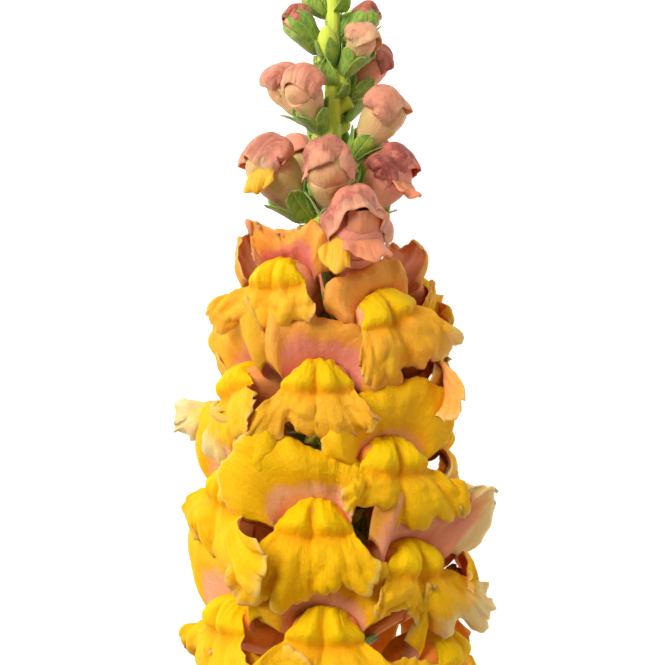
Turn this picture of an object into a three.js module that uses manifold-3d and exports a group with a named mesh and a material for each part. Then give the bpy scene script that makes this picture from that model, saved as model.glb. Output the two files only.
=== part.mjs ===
// A cut snapdragon stem lying on a level surface: a leafy stem with a flower spike at its far end.
// Units are millimetres, +Z is up and the stem runs along +Y, from its cut end to its tip.
//
// The green body is one solid: the stem with the stalks and cups that hold the flowers, and the
// closed green buds at the tip. Each leaf, each coloured bud and each open bloom is a solid of its
// own, seated in its cup or on the stem with a hair's gap.
//
// A flower is drawn in a frame of its own: x across it, r straight out from the stem, a up the stem.

import * as THREE from "three";
import Module from "manifold-3d";
import { ConvexGeometry } from "three/addons/geometries/ConvexGeometry.js";
import { mergeVertices } from "three/addons/utils/BufferGeometryUtils.js";

const wasm = await Module();
wasm.setup();

// ---------------------------------------------------------------- driving dimensions

const LENGTH = 426; // from the cut end to the last green bud
const AXIS_HEIGHT = 23.5; // of the stem's middle over the surface, all along the spike
const CUT_RADIUS = 3.2; // of the stem at the cut end
const SPIKE_START = 205; // where the flowers begin, from the cut end
const STEM_BOW = 9; // how far the cut end lies to the side of the spike's line

const PETAL = 0.9; // thickness of a lip
const SEPAL = 0.8;
const LEAF = 0.8;
const SEAT_GAP = 0.32; // between pieces that touch

const BEND_START = 5; // petals lower than this over the surface start to bend along it
const BEND_REACH = -1.5; // the height that a petal bent flat tends to, were it not pressed flat on the surface

const SIDES = 12; // round a tube or a bud, half of them at the root of each lip

const { cos, sin, abs, exp, max, min, PI } = Math;
const rad = THREE.MathUtils.degToRad;

// ---------------------------------------------------------------- the stem's line

// The middle of the stem at a distance from its cut end. The spike runs level, and the bare stem
// comes down from it to rest on its cut end.
function axis(along) {
  const fall = max(0, (SPIKE_START - along) / SPIKE_START);
  const ease = fall * fall * (3 - 2 * fall);
  const height = AXIS_HEIGHT + (CUT_RADIUS - AXIS_HEIGHT) * ease;
  return new THREE.Vector3(-STEM_BOW * fall * fall, along, height);
}

// Straight out from the stem, "turn" degrees round from straight up, and square to that.
const outward = (turn) => new THREE.Vector3(sin(rad(turn)), 0, cos(rad(turn)));
const sideways = (turn) => new THREE.Vector3(cos(rad(turn)), 0, -sin(rad(turn)));

function stemRadius(along) {
  const share = along / LENGTH;
  return CUT_RADIUS - 1.3 * share - 1.1 * share ** 8;
}

// ---------------------------------------------------------------- solids from three.js shapes

// A closed solid from a geometry. Vertices at one place become one vertex, and triangles that lose
// their width by that are left out.
function solid(geometry) {
  geometry.deleteAttribute("normal");
  geometry.deleteAttribute("uv");
  const merged = mergeVertices(geometry, 1e-4);
  const kept = [];
  for (let i = 0; i < merged.index.count; i += 3) {
    const [a, b, c] = merged.index.array.slice(i, i + 3);
    if (a !== b && b !== c && c !== a) kept.push(a, b, c);
  }
  const triVerts = new Uint32Array(kept);
  const vertProperties = new Float32Array(merged.attributes.position.array);
  const build = () => new wasm.Manifold(new wasm.Mesh({ numProp: 3, vertProperties, triVerts }));
  const made = build();
  if (made.volume() > 0) return made;
  for (let i = 0; i < triVerts.length; i += 3) {
    [triVerts[i + 1], triVerts[i + 2]] = [triVerts[i + 2], triVerts[i + 1]];
  }
  return build();
}

function solidOf(points, faces) {
  const geometry = new THREE.BufferGeometry().setFromPoints(points);
  geometry.setIndex(faces);
  return solid(geometry);
}

// Two triangles of the four-sided face a, b, c, d.
const quad = (a, b, c, d) => [a, b, c, a, c, d];

// The sphere's net drawn over another round body. shape(angle, ring) gives a point: angle goes once
// round and ring counts from 0 at one pole to "rings" at the other.
function body(shape, sides, rings) {
  const net = new THREE.SphereGeometry(1, sides, rings);
  const { position, uv } = net.attributes;
  for (let i = 0; i < position.count; i++) {
    const point = shape(2 * PI * (uv.getX(i) % 1), rings - Math.round(uv.getY(i) * rings));
    position.setXYZ(i, point.x, point.y, point.z);
  }
  return solid(net);
}

// The two faces of a thin blade round rows of points on its middle: the points half the thickness
// to either side of it.
function faces(rows, thick) {
  const front = [];
  const back = [];
  rows.forEach((row, j) => {
    row.forEach((point, i) => {
      const across = row[min(i + 1, row.length - 1)].clone().sub(row[max(i - 1, 0)]);
      const along = rows[min(j + 1, rows.length - 1)][i].clone().sub(rows[max(j - 1, 0)][i]);
      const normal = across.cross(along).normalize().multiplyScalar(thick / 2);
      front.push(point.clone().add(normal));
      back.push(point.clone().sub(normal));
    });
  });
  return { front, back };
}

// Rows of points on surface(u, v): u from -1 to 1 across, v from 0 at the root to 1 at the edge.
function rowsOf(surface, across, along) {
  const rows = [];
  for (let j = 0; j <= along; j++) {
    const row = [];
    for (let i = 0; i <= across; i++) row.push(surface(-1 + (2 * i) / across, j / along));
    rows.push(row);
  }
  return rows;
}

// A blade of even thickness as a closed solid. Both faces are split into triangles alike.
function blade(surface, across, along, thick) {
  const { front, back } = faces(rowsOf(surface, across, along), thick);
  const n = front.length;
  const wide = across + 1;
  const made = [];
  const { array } = new THREE.PlaneGeometry(1, 1, across, along).index;
  for (let i = 0; i < array.length; i += 3) {
    const [a, b, c] = array.slice(i, i + 3);
    made.push(a, b, c, n + a, n + c, n + b);
  }
  const rim = [];
  for (let i = 0; i < across; i++) rim.push(i);
  for (let j = 0; j < along; j++) rim.push(j * wide + across);
  for (let i = across; i > 0; i--) rim.push(along * wide + i);
  for (let j = along; j > 0; j--) rim.push(j * wide);
  rim.forEach((a, i) => {
    const b = rim[(i + 1) % rim.length];
    made.push(...quad(a, b, n + b, n + a));
  });
  return solidOf([...front, ...back], made);
}

// A tube of rings with poles at both ends, whose wall is pulled out into lips. A lip grows out of
// the band of the wall after ring "band", over half the sides from side "from" on. The first ring,
// down in the cup, has half as many sides.
function lippedTube(ring, rings, lips) {
  const points = [ring(0, 0)];
  for (let k = 1; k < rings; k++) {
    for (let i = 0; i < SIDES; i++) {
      const side = k === 1 ? i - (i % 2) : i;
      points.push(ring(k, (2 * PI * side) / SIDES));
    }
  }
  points.push(ring(rings, 0));
  const last = points.length - 1;
  const at = (k, i) => (k === 0 ? 0 : k === rings ? last : 1 + (k - 1) * SIDES + (i % SIDES));
  const half = SIDES / 2;
  const columns = lips.map(({ band, from, surface, rows, thick }) => {
    const sheet = rowsOf(surface, half, rows);
    const { front, back } = faces(sheet, thick);
    const first = points.length;
    points.push(...front, ...back);
    const n = front.length;
    return Array.from({ length: half + 1 }, (_, i) => {
      const column = [at(band, from + i)];
      for (let j = 1; j <= rows; j++) column.push(first + j * (half + 1) + i);
      for (let j = rows; j >= 1; j--) column.push(first + n + j * (half + 1) + i);
      column.push(at(band + 1, from + i));
      return column;
    });
  });
  const made = [];
  for (let i = 0; i < SIDES; i++) {
    made.push(0, at(1, i), at(1, i + 1), last, at(rings - 1, i + 1), at(rings - 1, i));
    for (let k = 1; k < rings - 1; k++) {
      const lip = lips.findIndex(({ band, from }) => k === band && i >= from && i < from + half);
      const left = lip < 0 ? [at(k, i), at(k + 1, i)] : columns[lip][i - lips[lip].from];
      const right = lip < 0 ? [at(k, i + 1), at(k + 1, i + 1)] : columns[lip][i - lips[lip].from + 1];
      for (let j = 1; j < left.length; j++) {
        made.push(...quad(left[j - 1], left[j], right[j], right[j - 1]));
      }
    }
  }
  columns.forEach((column) => {
    [column[0], column[half].slice().reverse()].forEach((side) => {
      for (let j = 0; j < side.length / 2 - 1; j++) {
        const k = side.length - 1 - j;
        made.push(...quad(side[j], side[k], side[k - 1], side[j + 1]));
      }
    });
  });
  const used = new Set(made);
  const places = new Map([...used].map((old, i) => [old, i]));
  return solidOf([...used].map((i) => points[i]), made.map((i) => places.get(i)));
}

// ---------------------------------------------------------------- placing a flower

// A point of a flower's own frame, in the part's frame. The flower's foot is on the stem, and it
// leans and rolls a little about the middle of its face. What would reach into the surface bends
// along it: the lower parts towards the cut end and the upper parts towards the tip.
function place(flower, x, r, a) {
  const { size = 1, roll = 0, foot, turn } = flower;
  const face = 12;
  const rolledX = x * cos(rad(roll)) + (a - face) * sin(rad(roll));
  const rolledA = face + (a - face) * cos(rad(roll)) - x * sin(rad(roll));
  const point = axis(foot);
  point.addScaledVector(sideways(turn), rolledX * size);
  point.addScaledVector(outward(turn), r * size);
  point.y += rolledA * size;
  return settle(point, a > face ? 1 : -1);
}

// Bends a point that would come under the surface along it.
function settle(point, way) {
  if (point.z >= BEND_START) return point;
  const room = BEND_START - BEND_REACH;
  const low = BEND_START - room * (1 - exp((point.z - BEND_START) / room));
  point.y += 0.5 * way * (low - point.z);
  point.z = low;
  return point;
}

// ---------------------------------------------------------------- an open bloom

// The tube and the swelling that closes its mouth, as rings: how far out from the stem, how far up,
// half the width and half the height. The upper lip grows between the rings 2 and 3, the lower lip
// between 4 and 5.
const BLOOM_RINGS = [
  [6.4, 1.8, 0, 0],
  [7.2, 2.8, 2.1, 2.0],
  [15.0, 9.6, 5.8, 5.2],
  [16.6, 10.6, 6.6, 5.6],
  [22.0, 12.4, 8.2, 6.6],
  [23.8, 12.4, 8.3, 6.7],
  [27.6, 11.8, 6.6, 5.4],
  [29.6, 11.2, 0, 0],
];

// A closed bud: the same tube, shorter, with the upper lip folded over its end as a hood.
const BUD_RINGS = [
  [4.6, 1.4, 0, 0],
  [5.4, 2.6, 1.8, 1.8],
  [8.6, 6.4, 3.4, 3.4],
  [11.2, 9.8, 4.5, 4.5],
  [12.4, 11.2, 4.7, 4.7],
  [15.8, 14.2, 4.4, 4.2],
  [18.6, 15.4, 0, 0],
];

// Which way a tube heads at one of its rings.
function slopeAt(rings, k) {
  const [r0, a0] = rings[max(k - 1, 0)];
  const [r1, a1] = rings[min(k + 1, rings.length - 1)];
  return Math.atan2(a1 - a0, r1 - r0);
}

// A point on the skin of a tube made of rings, at a place between them counted in rings, and
// "more" further out. The swelling has a groove down its top, between two humps.
function skin(flower, rings, angle, where, more = 0) {
  const k = min(Math.floor(where), rings.length - 2);
  const f = where - k;
  const [r0, a0, w0, h0] = rings[k];
  const [r1, a1, w1, h1] = rings[k + 1];
  const slope = slopeAt(rings, k) * (1 - f) + slopeAt(rings, k + 1) * f;
  const wide = w0 + (w1 - w0) * f;
  const high = h0 + (h1 - h0) * f;
  const groove = rings === BLOOM_RINGS && where > 3.5 ? 2 * exp(-(((angle - PI / 2) / 0.4) ** 2)) : 0;
  const across = wide ? (wide + more) * cos(angle) : 0;
  const up = wide ? (high + more) * sin(angle) - groove : 0;
  const push = wide ? 0 : where ? more : -more;
  const r = r0 + (r1 - r0) * f - up * sin(slope) + push * cos(slope);
  const a = a0 + (a1 - a0) * f + up * cos(slope) + push * sin(slope);
  return place(flower, across, r, a);
}

// A lip that leaves its root "start" degrees off the way ahead and bends evenly to "end" degrees at
// its edge: how far it has gone ahead and to the side at v, for a length of 1.
function curl(start, end, v) {
  const from = rad(start);
  const turn = rad(end) - from;
  const now = from + turn * v;
  return [(sin(now) - sin(from)) / turn, (cos(from) - cos(now)) / turn];
}

// The upper lip: two round lobes that stand up from the mouth and curl back.
function upperLip(flower, u, v) {
  const { upper = 19, upperCurl = 106, upperFan = 52 } = flower;
  const outline = (1 - 0.5 * abs(u) ** 5) * (0.76 + 0.24 * sin(0.9 * PI * u) ** 2);
  const long = upper * outline;
  const [ahead, away] = curl(8, upperCurl, v);
  const fan = rad(upperFan) * u;
  const x = 6.4 * sin(rad(90) * u) + long * away * sin(fan);
  const r = 15.8 + long * ahead * 0.88 - 1.2 * u ** 4 * v;
  const a = 10.2 + 5.5 * cos(rad(90) * u) + long * (0.47 * ahead + away * cos(fan));
  return place(flower, x, r, a);
}

// The lower lip: three lobes that spread from under the swelling and hang down.
function lowerLip(flower, u, v) {
  const { lower = 11, lowerCurl = 118, lowerFan = 42 } = flower;
  const notch = exp(-(((abs(u) - 0.34) / 0.12) ** 2));
  const outline = (1 - 0.45 * abs(u) ** 6) * (1 - 0.3 * notch * v) * (1 - 0.12 * exp(-((u / 0.2) ** 2)));
  const long = lower * outline;
  const [ahead, away] = curl(34, lowerCurl, v);
  const fan = rad(lowerFan) * u;
  const x = 8.0 * sin(rad(90) * u) + long * away * sin(fan);
  const r = 22.9 + long * ahead * 0.97;
  const a = 12.4 - 6.6 * cos(rad(90) * u) - long * (0.2 * ahead + away * cos(fan));
  return place(flower, x, r, a);
}

const bloomRing = (flower, more = 0) => (k, angle) => skin(flower, BLOOM_RINGS, angle, k, more);

function bloom(flower) {
  return lippedTube(bloomRing(flower), 7, [
    { band: 2, from: 0, surface: (u, v) => upperLip(flower, -u, v), rows: 2, thick: PETAL },
    { band: 4, from: 6, surface: (u, v) => lowerLip(flower, u, v), rows: 2, thick: PETAL },
  ]);
}

// ---------------------------------------------------------------- a coloured bud

// The hood over a bud's end, its edge standing proud of the tube.
function hood(flower, u, v) {
  const angle = PI / 2 + rad(90 + 14 * v) * u;
  const where = 3.9 + (2.6 - 0.9 * v - 0.5 * u * u) * v;
  return skin(flower, BUD_RINGS, angle, where, (0.3 + 1.0 * v) / (flower.size ?? 1));
}

const budRing = (flower, more = 0) => (k, angle) => skin(flower, BUD_RINGS, angle, k, more);

function bud(flower) {
  return lippedTube(budRing(flower), 6, [
    { band: 3, from: 0, surface: (u, v) => hood(flower, u, v), rows: 2, thick: PETAL },
  ]);
}

// ---------------------------------------------------------------- green parts

// A flower's stalk and the cup that holds its tube, in one body: from inside the stem along the
// tube to a rim with five points, then back inside it. "deep" is how far along the tube the notches
// of the rim are, in rings, and "points" how much further its points reach.
function cup(flower, rings, sides, deep, points) {
  const room = sides === 5 ? 0.9 : 0.6;
  const last = sides === 5 ? 5 : 6;
  return body((angle, ring) => {
    if (ring === 0) return place(flower, 0, -1.2, -5);
    if (ring === 1) return stalkEnd(flower, rings, angle);
    if (ring === last) return skin(flower, rings, 0, 0, 0.6);
    if (ring === last - 1) return skin(flower, rings, angle, 1, room);
    if (ring === last - 4) return skin(flower, rings, angle, 1, room + 0.75);
    const rim = deep + points * abs(cos(2.5 * angle));
    return skin(flower, rings, angle, rim, ring === last - 3 ? room + 0.75 : room);
  }, sides, last);
}

// Round the end of the stalk, a little under the tube that its cup holds. It has five sides.
function stalkEnd(flower, rings, around) {
  const [r, a] = rings[0];
  const angle = (Math.floor((around * 5) / (2 * PI) + 0.01) * 2 * PI) / 5;
  return place(flower, 1.2 * cos(angle), r - 1.1 - 0.8 * sin(angle), a - 1.1 + 0.8 * sin(angle));
}

// A small leaf under the stalk.
function bract(flower, u, v) {
  const wide = 2.4 * sin(PI * (0.2 + 0.8 * v)) ** 0.8;
  return place(flower, wide * u, 1.6 + 5.2 * v + 0.8 * u * u, -5.5 + 7.5 * v * v - 1.2 * v);
}

function stemBody() {
  const net = new THREE.CylinderGeometry(1, 1, 1, 8, 16);
  const { position } = net.attributes;
  for (let i = 0; i < position.count; i++) {
    const along = (position.getY(i) + 0.5) * (LENGTH - 4);
    const middle = axis(along);
    const radius = stemRadius(along);
    position.setXYZ(i, middle.x + radius * position.getX(i), along, middle.z + radius * position.getZ(i));
  }
  return solid(net);
}

// A green bud of the tip: a blunt egg, the sepals still closed over it.
function greenBud(flower) {
  return body((angle, ring) => {
    const long = (13 * ring) / 4;
    const round = 3.4 * sin((PI * ring) / 4) ** 0.8;
    const r = 1.0 + 0.62 * long - 0.78 * round * sin(angle);
    const a = -1 + 0.78 * long + 0.62 * round * sin(angle);
    return place(flower, round * cos(angle), r, a);
  }, 5, 4);
}

// ---------------------------------------------------------------- a leaf

// A lance-shaped leaf with a folded midrib, rising from the stem and arching over.
function leafSurface(leaf, u, v) {
  const { at, turn, long, wide, rise = 48, droop = 55 } = leaf;
  const [out, up] = curl(90 - rise, 90 - rise + droop, v);
  const half = 0.5 * wide * (0.2 + 0.8 * sin(PI * (0.04 + 0.9 * v) ** 0.8));
  const fold = 0.28 * abs(u) * half;
  const point = axis(at);
  point.addScaledVector(sideways(turn), half * u);
  point.addScaledVector(outward(turn), stemRadius(at) + 0.8 + long * up - fold * cos(rad(rise)));
  point.y += long * out + fold * sin(rad(rise));
  return settle(point, 1);
}

// ---------------------------------------------------------------- the plant

// at: how far up the stem the flower's face is, from the cut end. turn: which way it faces, in
// degrees round the stem from straight up, with 90 to the right as seen with the tip away.
const BLOOMS = [
  { at: 315, turn: -33, size: 0.9, upper: 14, upperCurl: 96 },
  { at: 308, turn: 32, size: 0.92, upperCurl: 140 },
  { at: 293, turn: -8, size: 0.96, upper: 20, upperCurl: 98 },
  { at: 292, turn: -63, size: 0.95, upper: 17 },
  { at: 276, turn: 31, size: 1.04, upperCurl: 128 },
  { at: 269, turn: -60, size: 1.06 },
  { at: 263, turn: -9, size: 1.04, upper: 20, upperCurl: 98 },
  { at: 254, turn: 43, size: 1.06, upper: 20, upperCurl: 104, upperFan: 62 },
  { at: 241, turn: -62, size: 1.06 },
  { at: 240, turn: -4, size: 1.04, upper: 17, upperCurl: 96 },
  { at: 300, turn: 80, size: 0.92 },
  { at: 280, turn: 86, size: 0.95 },
  { at: 233, turn: 73, size: 1.08 },
  { at: 257, turn: 92, size: 1.08 },
  { at: 216, turn: -36 },
  { at: 214, turn: 24 },
  { at: 313, turn: 116, size: 0.85 },
  { at: 291, turn: 132, size: 0.95 },
  { at: 268, turn: 138 },
  { at: 244, turn: 130 },
  { at: 304, turn: 178, size: 0.9 },
  { at: 277, turn: 186, size: 0.97 },
  { at: 251, turn: 182 },
  { at: 225, turn: 176 },
  { at: 311, turn: -122, size: 0.87 },
  { at: 287, turn: -118, size: 0.96 },
  { at: 262, turn: -122 },
  { at: 234, turn: -116 },
].map((flower, i) => ({
  ...flower,
  name: "bloom_" + String(i + 1).padStart(2, "0"),
  foot: flower.at - 12 * (flower.size ?? 1),
}));

// foot: how far up the stem the bud's stalk leaves it. size: 1 is a bud 19 mm long.
const BUDS = [
  { foot: 311, turn: 15, size: 1.4 },
  { foot: 327, turn: -68, size: 1.16 },
  { foot: 327, turn: -4, size: 1.06 },
  { foot: 326, turn: 68, size: 1.06 },
  { foot: 331, turn: -140, size: 1 },
  { foot: 331, turn: 140, size: 1 },
  { foot: 347, turn: -36, size: 0.86 },
  { foot: 349, turn: -96, size: 0.84 },
  { foot: 341, turn: 70, size: 0.96 },
  { foot: 350, turn: 156, size: 0.84 },
  { foot: 360, turn: 48, size: 0.68 },
  { foot: 355, turn: 112, size: 0.76 },
  { foot: 365, turn: -64, size: 0.66 },
  { foot: 367, turn: 92, size: 0.6 },
].map((flower, i) => ({ ...flower, name: "bud_" + String(i + 1).padStart(2, "0") }));

// The green buds go on up the tip, each a golden angle round from the last and a little smaller.
const TIP_BUDS = Array.from({ length: 14 }, (_, i) => ({
  foot: 364 + 58 * (i / 13) ** 0.9,
  turn: -12 + 137.5 * i,
  size: 0.86 - 0.6 * (i / 13),
}));

const LEAVES = [
  { at: 196, turn: -70, long: 40, wide: 8 },
  { at: 184, turn: 55, long: 44, wide: 9 },
  { at: 170, turn: -8, long: 47, wide: 9.5, droop: 70 },
  { at: 155, turn: -100, long: 50, wide: 10.5 },
  { at: 141, turn: 96, long: 52, wide: 11 },
  { at: 124, turn: 20, long: 54, wide: 12, droop: 74 },
  { at: 108, turn: -72, long: 56, wide: 12.5 },
  { at: 90, turn: 84, long: 56, wide: 12.5 },
].map((leaf, i) => ({ ...leaf, name: "leaf_" + String(i + 1).padStart(2, "0") }));

// ---------------------------------------------------------------- fitting the pieces together

// The round-cornered room that a set of points takes up with the gap round it.
function roomOf(points) {
  return solid(new ConvexGeometry(points));
}

// Points round some rings of a tube, over some of its sides.
function ringPoints(ring, rings, from = 0, to = SIDES - 1) {
  const points = [];
  for (const k of rings) {
    for (let i = from; i <= to; i++) points.push(ring(k, (2 * PI * i) / SIDES));
  }
  return points;
}

// The room of a lip with the part of the tube that it grows from, and the gap all round.
function lipRoom(ring, surface, band, from) {
  const { front, back } = faces(rowsOf(surface, SIDES / 2, 2), PETAL + 2 * SEAT_GAP);
  return roomOf([...front, ...back, ...ringPoints(ring, [band, band + 1], from, from + SIDES / 2)]);
}

function bloomRooms(flower) {
  const ring = bloomRing(flower, SEAT_GAP);
  return [
    roomOf(ringPoints(ring, [0, 1, 2])),
    roomOf(ringPoints(ring, [2, 3, 4, 5, 6, 7])),
    lipRoom(ring, (u, v) => upperLip(flower, -u, v), 2, 0),
    lipRoom(ring, (u, v) => lowerLip(flower, u, v), 4, SIDES / 2),
  ];
}

function budRooms(flower) {
  const ring = budRing(flower, SEAT_GAP);
  return [
    roomOf(ringPoints(ring, [0, 1, 2, 3, 4, 5, 6])),
    lipRoom(ring, (u, v) => hood(flower, u, v), 3, 0),
  ];
}

// The largest piece of what is left, so that no loose scrap or sliver stays.
function largest(made) {
  const pieces = made.decompose();
  return pieces.sort((a, b) => b.volume() - a.volume())[0];
}

function near(a, b) {
  const p = a.boundingBox();
  const q = b.boundingBox();
  return [0, 1, 2].every((i) => p.min[i] < q.max[i] && q.min[i] < p.max[i]);
}

// A piece cut clear of rooms that are taken, and of the surface.
function clear(made, rooms) {
  for (const room of rooms) {
    if (near(made, room)) made = made.subtract(room);
  }
  return largest(made.trimByPlane([0, 0, 1], 0));
}

// Flowers in the order that they are kept whole: each is cut clear of those before it.
function fitFlowers() {
  const taken = [];
  return [
    ...BLOOMS.map((flower) => ({ flower, make: bloom, rooms: bloomRooms, rings: BLOOM_RINGS })),
    ...BUDS.map((flower) => ({ flower, make: bud, rooms: budRooms, rings: BUD_RINGS })),
  ].map((entry) => {
    const made = clear(entry.make(entry.flower), taken);
    const rooms = entry.rooms(entry.flower);
    taken.push(...rooms);
    return { ...entry, made, rooms };
  });
}

function greenParts(flowers) {
  const parts = [stemBody()];
  const others = (own) => flowers.filter((entry) => entry !== own).flatMap(({ rooms }) => rooms);
  for (const entry of flowers) {
    const { flower, rings } = entry;
    const isBud = rings === BUD_RINGS;
    const made = isBud ? cup(flower, rings, 10, 1.2, 1.1) : cup(flower, rings, 5, 1.05, 0.2);
    parts.push(clear(made, others(entry)));
    if (isBud && flower.foot < 350) {
      parts.push(clear(blade((u, v) => bract(flower, u, v), 2, 2, SEPAL), others(entry)));
    }
  }
  const all = flowers.flatMap(({ rooms }) => rooms);
  for (const flower of TIP_BUDS) parts.push(clear(greenBud(flower), all));
  return wasm.Manifold.union(parts);
}

// ---------------------------------------------------------------- meshes

function mesh(name, made, material) {
  const { vertProperties, triVerts } = made.getMesh();
  const geometry = new THREE.BufferGeometry();
  geometry.setAttribute("position", new THREE.BufferAttribute(vertProperties, 3));
  geometry.setIndex(new THREE.BufferAttribute(triVerts, 1));
  geometry.computeVertexNormals();
  const made3d = new THREE.Mesh(geometry, material);
  made3d.name = name;
  return made3d;
}

const paint = (color, roughness) => new THREE.MeshStandardMaterial({ color, roughness, metalness: 0 });
const PETAL_YELLOW = paint(0xf6b50f, 0.55);
const BUD_PINK = paint(0xd98a72, 0.55);
const STEM_GREEN = paint(0x7f9a35, 0.6);
const LEAF_GREEN = paint(0x4f7a2c, 0.55);

const plant = new THREE.Group();
const flowers = fitFlowers();
const green = largest(greenParts(flowers));
for (const { flower, made, rings } of flowers) {
  plant.add(mesh(flower.name, made, rings === BUD_RINGS ? BUD_PINK : PETAL_YELLOW));
}
plant.add(mesh("stem", green, STEM_GREEN));
const taken = flowers.flatMap(({ rooms }) => rooms);
for (const leaf of LEAVES) {
  const made = clear(blade((u, v) => leafSurface(leaf, u, v), 2, 5, LEAF), taken);
  plant.add(mesh(leaf.name, made, LEAF_GREEN));
}

// The origin is on the surface, under the middle of the whole plant.
const bounds = new THREE.Box3().setFromObject(plant);
const middle = bounds.getCenter(new THREE.Vector3());
plant.position.set(-middle.x, -middle.y, -bounds.min.z);

export default plant;
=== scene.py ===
# %% [markdown]
# # A cut snapdragon stem
# A CAD model already says where each flower, bud and leaf sits on the stem, in plain facets.
# This script keeps those places and swaps every plain piece for a fine one: petals with ruffled
# edges and veins, buds with folded hoods, a downy stem. The frame is read first, and its box is
# kept, so that the end can show that nothing outgrew it.

# %% Read the frame
import functools
from math import acos, atan2, cos, exp, pi, radians, sin, sqrt
from random import Random

import bmesh
import bpy
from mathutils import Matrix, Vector, noise


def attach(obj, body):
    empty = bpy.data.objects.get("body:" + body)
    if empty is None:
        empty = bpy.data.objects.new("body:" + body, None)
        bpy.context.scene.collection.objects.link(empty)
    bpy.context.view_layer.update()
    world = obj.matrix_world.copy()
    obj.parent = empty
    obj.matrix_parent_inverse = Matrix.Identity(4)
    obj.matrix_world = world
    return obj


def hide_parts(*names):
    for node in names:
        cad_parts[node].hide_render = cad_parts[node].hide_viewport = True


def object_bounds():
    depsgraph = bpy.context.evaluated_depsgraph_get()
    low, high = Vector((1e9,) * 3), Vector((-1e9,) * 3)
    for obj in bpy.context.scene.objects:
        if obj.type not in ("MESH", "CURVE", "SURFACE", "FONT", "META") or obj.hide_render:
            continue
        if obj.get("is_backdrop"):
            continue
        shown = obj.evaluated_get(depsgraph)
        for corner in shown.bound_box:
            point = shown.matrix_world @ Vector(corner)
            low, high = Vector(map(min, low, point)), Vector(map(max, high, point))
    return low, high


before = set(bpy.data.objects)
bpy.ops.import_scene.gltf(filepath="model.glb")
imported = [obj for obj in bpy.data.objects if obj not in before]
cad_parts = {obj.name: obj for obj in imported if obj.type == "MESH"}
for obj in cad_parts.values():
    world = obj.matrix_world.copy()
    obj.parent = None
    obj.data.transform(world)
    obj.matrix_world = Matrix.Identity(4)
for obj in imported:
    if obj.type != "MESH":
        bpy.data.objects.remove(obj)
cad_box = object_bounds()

print("nodes", len(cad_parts), "box in mm", [[round(1000 * c) for c in p] for p in cad_box])

# %% [markdown]
# ## One line for everything
# The stem is the line that all else hangs on. It lies along +Y, level where the flowers are, and
# comes down to the surface at its cut end. All lengths here are millimetres, as a gardener would
# measure them, and only the last step turns them into Blender's metres. The cut end of the CAD
# stem tells where the line starts.

# %% The stem's line
MM = 0.001  # one millimetre, in Blender's metres
LENGTH = 426
AXIS_HEIGHT = 23.5  # of the stem's middle, where the flowers are
SPIKE_START = 205  # where the stem has come up to that height
STEM_BOW = 9  # how far the bare end sways to the side
CUT_RADIUS = 3.2
TAPER = 1.3  # what the radius loses evenly along the stem
TIP_TAPER = 1.1  # what it loses near the tip besides


def cut_end():
    """The middle of the CAD stem's cut end, in mm."""
    points = [v.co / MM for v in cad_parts["stem"].data.vertices]
    lowest = min(p.y for p in points)
    ring = [p for p in points if p.y < lowest + 0.05]
    return sum(ring, Vector()) / len(ring)


ORIGIN = cut_end() + Vector((STEM_BOW, 0, -CUT_RADIUS))


def axis(along):
    """The middle of the stem at a distance from its cut end."""
    fall = max(0, (SPIKE_START - along) / SPIKE_START)
    ease = fall * fall * (3 - 2 * fall)
    height = AXIS_HEIGHT + (CUT_RADIUS - AXIS_HEIGHT) * ease
    return ORIGIN + Vector((-STEM_BOW * fall * fall, along, height))


def outward(turn):
    """Straight out from the stem; a turn of 0 degrees faces up, and 90 to the right."""
    return Vector((sin(radians(turn)), 0, cos(radians(turn))))


def sideways(turn):
    return Vector((cos(radians(turn)), 0, -sin(radians(turn))))


def stem_radius(along):
    share = along / LENGTH
    return CUT_RADIUS - TAPER * share - TIP_TAPER * share**8


print("stem starts at", [round(c, 1) for c in cut_end()], "mm")

# %% [markdown]
# ## A frame for each flower
# A flower is easiest to shape in a frame of its own: x across it, r straight out from the stem and
# a up the stem. One function carries such a point to its place round the stem. The stem lies on a
# surface, so whatever would reach into the surface bends along it instead, as soft petals do.

# %% Place a point of a flower
FACE = 12  # how far up the stem from its foot a flower has the middle of its face
BEND_START = 5  # below this height a petal bends along the surface
BEND_REACH = -1.5  # and this is the lowest that it could come
BEND_SLIDE = 0.5  # how much of the lost height goes along the surface


def settle(point, way):
    """Bends a point that would come under the surface along it."""
    if point.z < BEND_START:
        room = BEND_START - BEND_REACH
        low = BEND_START - room * (1 - exp((point.z - BEND_START) / room))
        point.y += BEND_SLIDE * way * (low - point.z)
        point.z = low
    return point


def place(flower, x, r, a):
    """The place on the plant of a point in the flower's own frame."""
    size = flower.get("size", 1)
    roll = radians(flower.get("roll", 0))
    rolled_x = x * cos(roll) + (a - FACE) * sin(roll)
    rolled_a = FACE + (a - FACE) * cos(roll) - x * sin(roll)
    point = axis(flower["foot"])
    point += sideways(flower["turn"]) * rolled_x * size
    point += outward(flower["turn"]) * r * size
    point.y += rolled_a * size
    return settle(point, 1 if a > FACE else -1)


print("a point 8 mm under the surface settles at", round(settle(Vector((0, 0, -8)), 1).z, 2))

# %% [markdown]
# ## Sheets and skins
# Two kinds of shape make the whole plant. A sheet is a flat grid whose points are moved to a
# formula of two numbers, side from -1 to 1 and reach from 0 at the root to 1 at the edge. A skin
# is a ball's net drawn over a tube or a bud. Sculpt tools could shape one petal, but formulas
# shape dozens that all differ a little. Each point also remembers where it is, so that a material
# can follow the petal.

# %% What a point remembers
# side and reach say where on its sheet or skin a point is, and outer is 1 on a sheet's back.
# lip is 0 on tubes and the stem, 1 on upper lips, hoods and green blades, 2 on lower lips and
# golden tongues, 3 on rosy tongues. young, pale and deep are how young a flower is, how faded,
# and how far inside its throat or down in its lower lip's groove and crease, where the petal gets
# orange painted shade; on the stem, deep is the pith of the cut.
LAYERS = ("side", "reach", "outer", "lip", "young", "pale", "deep")
LOWEST = 0.06


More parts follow.
